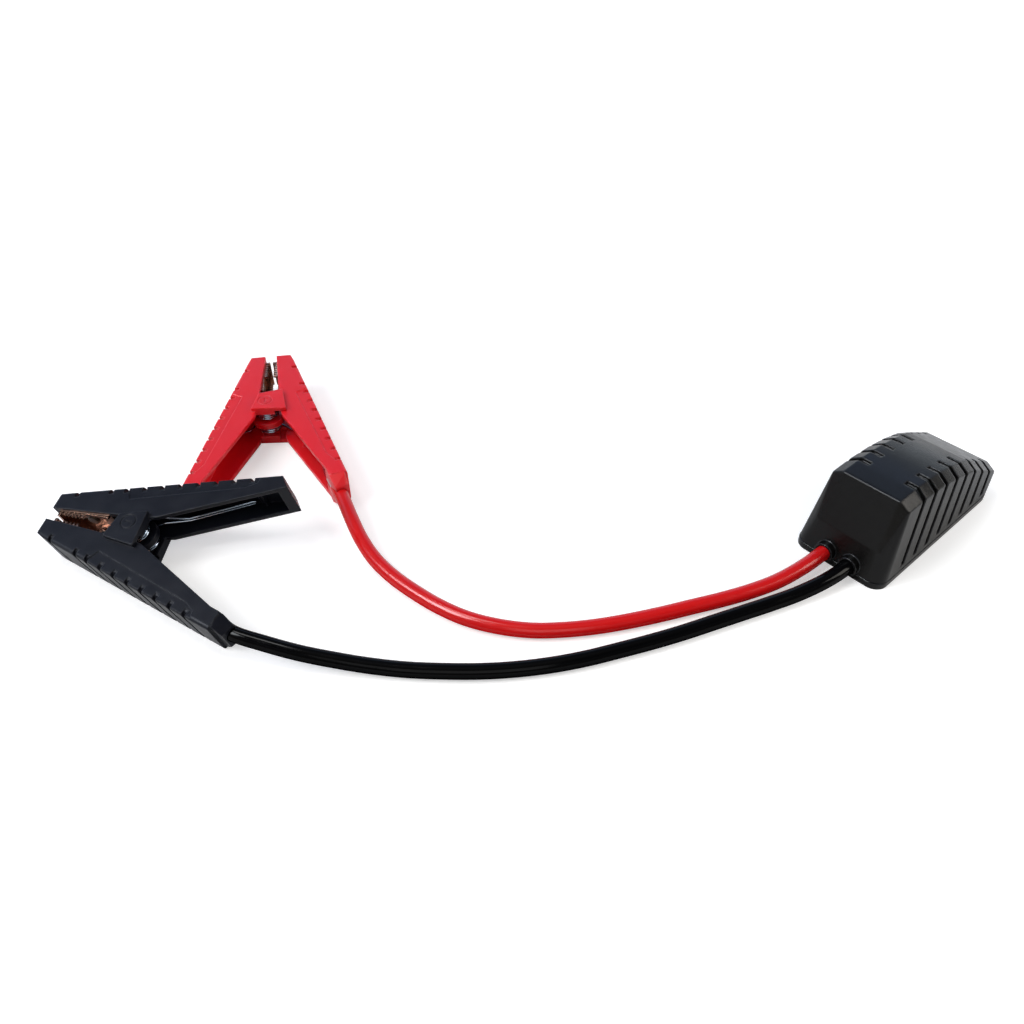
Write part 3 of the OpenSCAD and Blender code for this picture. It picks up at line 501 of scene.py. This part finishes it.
def paint_edge_wear_and_highlight(mat, wear_and_highlight):
    tree = mat.node_tree
    flat = tree.nodes.new("ShaderNodeNewGeometry")
    turn = tree.nodes.new("ShaderNodeVectorMath")
    turn.operation = "DOT_PRODUCT"
    tree.links.new(tree.nodes["Bevel"].outputs["Normal"], turn.inputs[0])
    tree.links.new(flat.outputs["Normal"], turn.inputs[1])
    uneven = noise(tree, tree.nodes["Texture Coordinate"], EDGE_SPOT_SCALE)
    lit_and_worn = tree.nodes.new("ShaderNodeMath")
    lit_and_worn.operation = "MULTIPLY"
    tree.links.new(ramp(tree, turn.outputs["Value"], *EDGE_TURN, 0.0, 1.0), lit_and_worn.inputs[0])
    tree.links.new(ramp(tree, uneven, *EDGE_SPOT_NOISE, *EDGE_SPOT_SHARE), lit_and_worn.inputs[1])
    base = tree.nodes["Principled BSDF"].inputs["Base Color"]
    moulded = base.links[0].from_socket
    # Mix in the lighter edge colour: wear and a painted highlight.
    mixed = colour_mix(tree, lit_and_worn.outputs["Value"], wear_and_highlight, wear_and_highlight)
    tree.links.new(moulded, mixed.node.inputs["A"])
    tree.links.new(mixed, base)
    return mat


print("rubbed spots about", round(1000 / EDGE_SPOT_SCALE, 1), "mm wide")

# %% [markdown]
# ## Clamp plastic
# The clamps are moulded in a tough plastic, such as nylon, with a satin surface. The black is a
# little bluish. The red lets some light into it, so that thin walls glow from inside: that is
# subsurface scattering, which goes some 4 mm deep in red and hardly at all in green and blue.

# %% Clamp plastic
CLAMP_EDGE = 0.0008
FINISHES = {
    "black_plastic": plain_finish("black_plastic", (0.0044, 0.005, 0.0084),
                                  (0.0062, 0.007, 0.011), 0.32, 0.25, 2600.0, specular=0.13),
    "red_plastic": plain_finish("red_plastic", (0.61, 0.003, 0.008), (0.67, 0.005, 0.012),
                                0.36, 0.25, 2600.0, specular=0.42),
}
# Lighter edge colours of the clamps: partly wear, partly a painted highlight.
EDGE_WEAR_AND_HIGHLIGHT = {"black_plastic": (0.035, 0.037, 0.043), "red_plastic": (0.86, 0.06, 0.085)}
for name, wear_and_highlight in EDGE_WEAR_AND_HIGHLIGHT.items():
    paint_edge_wear_and_highlight(round_edges(FINISHES[name], CLAMP_EDGE), wear_and_highlight)

red_shader = FINISHES["red_plastic"].node_tree.nodes["Principled BSDF"]
red_shader.inputs["Subsurface Weight"].default_value = 0.35
red_shader.inputs["Subsurface Radius"].default_value = (1.0, 0.08, 0.08)
red_shader.inputs["Subsurface Scale"].default_value = 0.004
print("clamp finishes:", sorted(FINISHES))

# %% [markdown]
# ## Silicone jackets
# Silicone is smoother than the clamps, and it is a little glossy with hardly any grain. Next to
# the table its underside is dark, because little light gets into the narrow gap there. The table
# has a glow of its own in this scene, though, and that would light the gap. So the gloss fades
# out by how far the surface faces down.

# %% Silicone jackets
GLOSS_FADE = (-0.1, 0.55)


def dull_below(mat):
    tree = mat.node_tree
    gloss = tree.nodes["Principled BSDF"].inputs["Specular IOR Level"]
    flat = tree.nodes.new("ShaderNodeNewGeometry")
    up = tree.nodes.new("ShaderNodeSeparateXYZ")
    tree.links.new(flat.outputs["Normal"], up.inputs["Vector"])
    tree.links.new(ramp(tree, up.outputs["Z"], *GLOSS_FADE, 0.0, gloss.default_value), gloss)
    return mat


FINISHES["red_silicone"] = dull_below(
    plain_finish("red_silicone", (0.55, 0.005, 0.006), (0.6, 0.007, 0.008), 0.2, 0.12, 900.0,
                 specular=0.4))
FINISHES["black_silicone"] = dull_below(
    plain_finish("black_silicone", (0.001, 0.001, 0.0012), (0.0016, 0.0016, 0.002), 0.1, 0.06,
                 900.0, specular=0.1))
print("with silicone:", len(FINISHES), "finishes")

# %% [markdown]
# ## Metals
# The jaws are stamped from copper sheet, which goes brown in patches and stays bright where it
# is touched. The springs, pins and screws are zinc plated steel, which looks bluish. The cable
# lugs are tinned, and the plug's contacts are gold plated brass. The press dulls a rivet's head,
# so the rivets have a finish of their own.

# %% Metals
METAL_EDGE = 0.0002
FINISHES["copper"] = round_edges(
    plain_finish("copper", (0.75, 0.45, 0.33), (0.05, 0.02, 0.013), 0.12, 0.7, 800.0,
                 metallic=1.0), METAL_EDGE)
FINISHES["steel"] = plain_finish("steel", (0.5, 0.58, 0.68), (0.4, 0.48, 0.57), 0.1, 0.1,
                                 900.0, metallic=1.0)
FINISHES["tinned"] = round_edges(
    plain_finish("tinned", (0.6, 0.59, 0.57), (0.5, 0.5, 0.48), 0.35, 0.2, 900.0,
                 metallic=1.0), METAL_EDGE)
FINISHES["gold_brass"] = round_edges(
    plain_finish("gold_brass", (0.85, 0.58, 0.2), (0.75, 0.48, 0.15), 0.2, 0.1, 900.0,
                 metallic=1.0), METAL_EDGE)
PRESSED_STEEL = plain_finish("pressed_steel", (0.3, 0.25, 0.21), (0.18, 0.14, 0.11), 0.32,
                             0.3, 900.0, metallic=1.0)
print("with metals:", len(FINISHES), "finishes and", PRESSED_STEEL.name)

# %% [markdown]
# ## Inside the box
# The board's green is its solder mask. The relay and the transistors are moulded in plain black,
# the capacitor wears a shrunk sleeve, and the plug is blue nylon. Little of this is ever seen, so
# these finishes stay simple.

# %% Inside the box
CASE_EDGE, SLEEVE_EDGE, PLUG_EDGE = 0.0002, 0.0003, 0.0004
FINISHES["board"] = plain_finish("board", (0.01, 0.09, 0.03), (0.02, 0.13, 0.04), 0.35, 0.2,
                                 900.0)
FINISHES["black_case"] = round_edges(
    plain_finish("black_case", (0.02, 0.02, 0.02), (0.03, 0.03, 0.03), 0.5, 0.2, 1200.0),
    CASE_EDGE)
FINISHES["sleeve"] = round_edges(
    plain_finish("sleeve", (0.02, 0.025, 0.06), (0.03, 0.035, 0.08), 0.25, 0.1, 900.0),
    SLEEVE_EDGE)
FINISHES["plug_plastic"] = round_edges(
    plain_finish("plug_plastic", (0.02, 0.03, 0.09), (0.03, 0.045, 0.12), 0.4, 0.2, 1500.0),
    PLUG_EDGE)
print("with the inner parts:", len(FINISHES), "finishes")

# %% [markdown]
# ## The box's roof
# The roof is a soft crown that leans more and more from the cable end to the plug end. The
# engineering part has it as a chain of flat strips, and each would mirror the room by itself.
# So the shader swaps the strips' lean for one that grows evenly along X, on the faces that
# look up, and leaves all other faces alone.

# %% The roof's crown
CROWN_X = (-0.029, 0.026)
CROWN_LEAN = (0.0, 0.46)
LOOKS_UP = (0.7, 0.76)


def crown_roof(mat):
    tree = mat.node_tree
    flat = tree.nodes.new("ShaderNodeNewGeometry")
    at = tree.nodes.new("ShaderNodeSeparateXYZ")
    normal = tree.nodes.new("ShaderNodeSeparateXYZ")
    tree.links.new(flat.outputs["Position"], at.inputs["Vector"])
    tree.links.new(flat.outputs["Normal"], normal.inputs["Vector"])
    lean = tree.nodes.new("ShaderNodeMath")
    lean.operation = "SUBTRACT"
    tree.links.new(ramp(tree, at.outputs["X"], *CROWN_X, *CROWN_LEAN), lean.inputs[0])
    tree.links.new(normal.outputs["X"], lean.inputs[1])
    on_roof = tree.nodes.new("ShaderNodeMath")
    on_roof.operation = "MULTIPLY"
    tree.links.new(lean.outputs["Value"], on_roof.inputs[0])
    tree.links.new(ramp(tree, normal.outputs["Z"], *LOOKS_UP, 0.0, 1.0), on_roof.inputs[1])
    extra = tree.nodes.new("ShaderNodeCombineXYZ")
    tree.links.new(on_roof.outputs["Value"], extra.inputs["X"])
    total = tree.nodes.new("ShaderNodeVectorMath")
    tree.links.new(tree.nodes["Bevel"].outputs["Normal"], total.inputs[0])
    tree.links.new(extra.outputs["Vector"], total.inputs[1])
    unit = tree.nodes.new("ShaderNodeVectorMath")
    unit.operation = "NORMALIZE"
    tree.links.new(total.outputs["Vector"], unit.inputs[0])
    tree.links.new(unit.outputs["Vector"], tree.nodes["Bump"].inputs["Normal"])
    return mat


print("crown from", CROWN_X[0], "to", CROWN_X[1], "m")

# %% [markdown]
# ## Box plastic
# The box is moulded in a glossier black than the clamps. It has rounder edges and no blue in it.

# %% Box plastic
BOX_FINISH = plain_finish("box_plastic", (0.0024, 0.0022, 0.0021), (0.004, 0.0037, 0.0035),
                          0.21, 0.25, 2600.0, specular=0.21)
BOX_EDGE = 0.001
# Painted bluish highlight line along the box's edges.
BOX_EDGE_HIGHLIGHT = (0.045, 0.049, 0.056)
paint_edge_wear_and_highlight(crown_roof(round_edges(BOX_FINISH, BOX_EDGE)), BOX_EDGE_HIGHLIGHT)
print("box finish has", len(BOX_FINISH.node_tree.nodes), "nodes")

# %% [markdown]
# ## Finishes on the parts
# The engineering model says which finish belongs to which part. Three kinds differ: the box's
# shell and cover, the rivets, and the pieces that were made here.

# %% Finishes on the parts
def finish_for(part):
    if part["node"] in ("box_shell", "box_cover"):
        return BOX_FINISH
    if part["node"].endswith("_rivet"):
        return PRESSED_STEEL
    return FINISHES[part["material_slot"]]


for part in frame["record"]["subparts"]:
    mesh = nodes[part["node"]].data
    mesh.materials.clear()
    mesh.materials.append(finish_for(part))
for name, cable in cables.items():
    cable.data.materials.append(FINISHES[name + "_silicone"])
for piece in springs:
    piece.data.materials.append(FINISHES["steel"])

# %% [markdown]
# ## White table
# The table is pale and matt. Light on it alone would leave it grey at its far end, and more lamps
# would bleach the lead. So it glows a little for the viewer, more so far from the lead, where it
# turns pure white. Near the lead the glow is weaker, and the soft shadows stay. Metal and gloss
# mirror a tenth of that glow.

# %% White table
LEAD_MIDDLE = (-0.15, 0.12, 0.0)
NEAR_AND_FAR = (0.2, 0.7)
GLOW = (0.45, 1.0)
MIRRORED_GLOW = 0.1


def table_finish():
    mat, tree, bsdf, coords = new_material("white_table")
    tint = colour_mix(tree, noise(tree, coords, 3.0), (0.72, 0.72, 0.72), (0.75, 0.75, 0.75))
    tree.links.new(tint, bsdf.inputs["Base Color"])
    bsdf.inputs["Roughness"].default_value = 0.9
    bsdf.inputs["Specular IOR Level"].default_value = 0.0
    away = tree.nodes.new("ShaderNodeVectorMath")
    away.operation = "DISTANCE"
    away.inputs[1].default_value = LEAD_MIDDLE
    tree.links.new(coords.outputs["Object"], away.inputs[0])
    path = tree.nodes.new("ShaderNodeLightPath")
    seen = tree.nodes.new("ShaderNodeMath")
    seen.operation = "MULTIPLY_ADD"
    seen.inputs[1].default_value = MIRRORED_GLOW
    tree.links.new(path.outputs["Is Glossy Ray"], seen.inputs[0])
    tree.links.new(path.outputs["Is Camera Ray"], seen.inputs[2])
    strength = tree.nodes.new("ShaderNodeMath")
    strength.operation = "MULTIPLY"
    tree.links.new(seen.outputs["Value"], strength.inputs[0])
    tree.links.new(ramp(tree, away.outputs["Value"], *NEAR_AND_FAR, *GLOW), strength.inputs[1])
    glow = tree.nodes.new("ShaderNodeEmission")
    tree.links.new(strength.outputs["Value"], glow.inputs["Strength"])
    both = tree.nodes.new("ShaderNodeAddShader")
    tree.links.new(bsdf.outputs["BSDF"], both.inputs[0])
    tree.links.new(glow.outputs["Emission"], both.inputs[1])
    tree.links.new(both.outputs["Shader"], tree.nodes["Material Output"].inputs["Surface"])
    return mat


white_table = table_finish()
print("glow from", GLOW[0], "to", GLOW[1], "over", NEAR_AND_FAR, "m")

# %% [markdown]
# ## Table top
# The table is one flat grid under the lead. It is 12 m wide, so that its end is far out of sight,
# and it is only part of the stage: it isn't a piece of the lead.

# %% Table top
HALF_TABLE = 6.0
floor_mesh = bpy.data.meshes.new("table")
bm = bmesh.new()
bmesh.ops.create_grid(bm, x_segments=8, y_segments=8, size=HALF_TABLE)
bm.to_mesh(floor_mesh)
bm.free()
floor_mesh.materials.append(white_table)
floor = bpy.data.objects.new("table", floor_mesh)
bpy.context.scene.collection.objects.link(floor)
bpy.context.view_layer.update()
print("table:", [round(v, 1) for v in floor.dimensions], "m")

# %% [markdown]
# ## Room
# What a glossy black part shows is mostly the room. An image of a whole room could be wrapped
# round the scene, but a few bands of colour are enough: white at the horizon and below it, a
# bluish band of windows at about 30 degrees, and a dark ceiling. This cell paints them by height.

# %% Room by height
world = bpy.data.worlds.new("room")
bpy.context.scene.world = world
world.use_nodes = True
room_tree = world.node_tree
room_tree.nodes.clear()
direction = room_tree.nodes.new("ShaderNodeTexCoord").outputs["Generated"]

BANDS = ((0.2, (0.55, 0.54, 0.53)), (0.38, (0.24, 0.27, 0.34)), (0.47, (0.66, 0.74, 1.0)),
         (0.57, (0.72, 0.82, 1.0)), (0.66, (0.1, 0.11, 0.14)), (0.9, (0.2, 0.2, 0.22)))
split = room_tree.nodes.new("ShaderNodeSeparateXYZ")
by_height = room_tree.nodes.new("ShaderNodeValToRGB")
stops = by_height.color_ramp
stops.elements[0].color = (1.0, 1.0, 1.0, 1)
stops.elements[1].color = (0.5, 0.5, 0.5, 1)
for height, colour in BANDS:
    stops.elements.new(height).color = (*colour, 1)
room_tree.links.new(direction, split.inputs["Vector"])
room_tree.links.new(split.outputs["Z"], by_height.inputs["Fac"])
print("bands:", len(stops.elements))

# %% [markdown]
# ## Room by side
# The far side of the room is brighter and bluer, and the side behind the viewer is darker and
# warmer. Both go by how far a direction points to the far side.

# %% Room by side
TO_FAR_SIDE = (0.2, 0.98, 0.0)
WARM, COOL = (1.0, 0.93, 0.8), (0.8, 0.9, 1.0)
BEHIND_AND_FAR = (0.3, 1.5)


def facing(target):
    """1 for a direction that points at the target, 0 square to it and -1 away from it."""
    dot = room_tree.nodes.new("ShaderNodeVectorMath")
    dot.operation = "DOT_PRODUCT"
    dot.inputs[1].default_value = target
    room_tree.links.new(direction, dot.inputs[0])
    return dot.outputs["Value"]


side = facing(TO_FAR_SIDE)
tint = colour_mix(room_tree, ramp(room_tree, side, -0.3, 0.3, 0.0, 1.0), WARM, COOL)
tinted = room_tree.nodes.new("ShaderNodeVectorMath")
tinted.operation = "MULTIPLY"
room_tree.links.new(by_height.outputs["Color"], tinted.inputs[0])
room_tree.links.new(tint, tinted.inputs[1])
room = room_tree.nodes.new("ShaderNodeBackground")
room_tree.links.new(tinted.outputs["Vector"], room.inputs["Color"])
room_tree.links.new(ramp(room_tree, side, -0.6, 0.8, *BEHIND_AND_FAR), room.inputs["Strength"])
print("room's brightness from", BEHIND_AND_FAR[0], "to", BEHIND_AND_FAR[1])

# %% [markdown]
# ## Sky
# High at the left, where the window's lamp will hang, stands a bright patch of sky. Glossy edges
# and the springs' wire mirror it as a crisp line. It shows in reflections only, because the lamp
# gives its light.

# %% Sky
TO_SKY = (-0.592, 0.251, 0.766)
SKY_EDGE = (0.955, 0.985)
SKY_STRENGTH = 12.0
path = room_tree.nodes.new("ShaderNodeLightPath")
sky = room_tree.nodes.new("ShaderNodeBackground")
sky.inputs["Color"].default_value = (0.85, 0.93, 1.0, 1)
mirrored = room_tree.nodes.new("ShaderNodeMath")
mirrored.operation = "MULTIPLY"
in_sky = ramp(room_tree, facing(TO_SKY), *SKY_EDGE, 0.0, SKY_STRENGTH)
room_tree.links.new(in_sky, mirrored.inputs[0])
room_tree.links.new(path.outputs["Is Glossy Ray"], mirrored.inputs[1])
room_tree.links.new(mirrored.outputs["Value"], sky.inputs["Strength"])
whole = room_tree.nodes.new("ShaderNodeAddShader")
room_tree.links.new(room.outputs["Background"], whole.inputs[0])
room_tree.links.new(sky.outputs["Background"], whole.inputs[1])
print("sky patch:", round(2 * math.degrees(math.acos(SKY_EDGE[0]))), "degrees wide")

# %% [markdown]
# ## White behind the table
# The viewer never sees the room itself: whatever the camera looks at past the table is white.

# %% White behind the table
white = room_tree.nodes.new("ShaderNodeBackground")
white.inputs["Color"].default_value = (1, 1, 1, 1)
white.inputs["Strength"].default_value = 1.0
choose = room_tree.nodes.new("ShaderNodeMixShader")
out = room_tree.nodes.new("ShaderNodeOutputWorld")
room_tree.links.new(path.outputs["Is Camera Ray"], choose.inputs["Fac"])
room_tree.links.new(whole.outputs["Shader"], choose.inputs[1])
room_tree.links.new(white.outputs["Background"], choose.inputs[2])
room_tree.links.new(choose.outputs["Shader"], out.inputs["Surface"])
print("room nodes:", len(room_tree.nodes))

# %% [markdown]
# ## Lamps
# Four soft square lamps light the lead. The strongest, at the left, is the window. A small one
# overhead draws the edges of the clamps, a warmer one stands at the near right, and a weak one
# behind the camera opens up the shadows. A point lamp or a sun would be simpler, but their
# shadows are hard. Each lamp is turned to the lead, with its size in metres and its power in
# watts.

# %% Lamps
def area_light(name, at, target, size, power, colour=(1, 1, 1)):
    data = bpy.data.lights.new(name, "AREA")
    data.shape = "SQUARE"
    data.size = size
    data.energy = power
    data.color = colour
    light = bpy.data.objects.new(name, data)
    bpy.context.scene.collection.objects.link(light)
    light.location = at
    aim = Vector(target) - Vector(at)
    light.rotation_euler = aim.to_track_quat("-Z", "Y").to_euler()
    return light


lamps = [
    area_light("window", (-1.28, 0.56, 1.26), (-0.15, 0.1, 0), 0.8, 18),
    area_light("ceiling", (-0.43, 0.49, 1.41), (-0.1, 0.1, 0), 0.35, 4),
    area_light("side", (0.9, -1.0, 0.9), (-0.1, 0.1, 0), 0.8, 13, (1.0, 0.95, 0.88)),
    area_light("front", (-1.0, -0.9, 1.1), (-0.15, 0.1, 0), 1.0, 4),
]
print("lamps:", {lamp.name: lamp.data.energy for lamp in lamps}, "W")
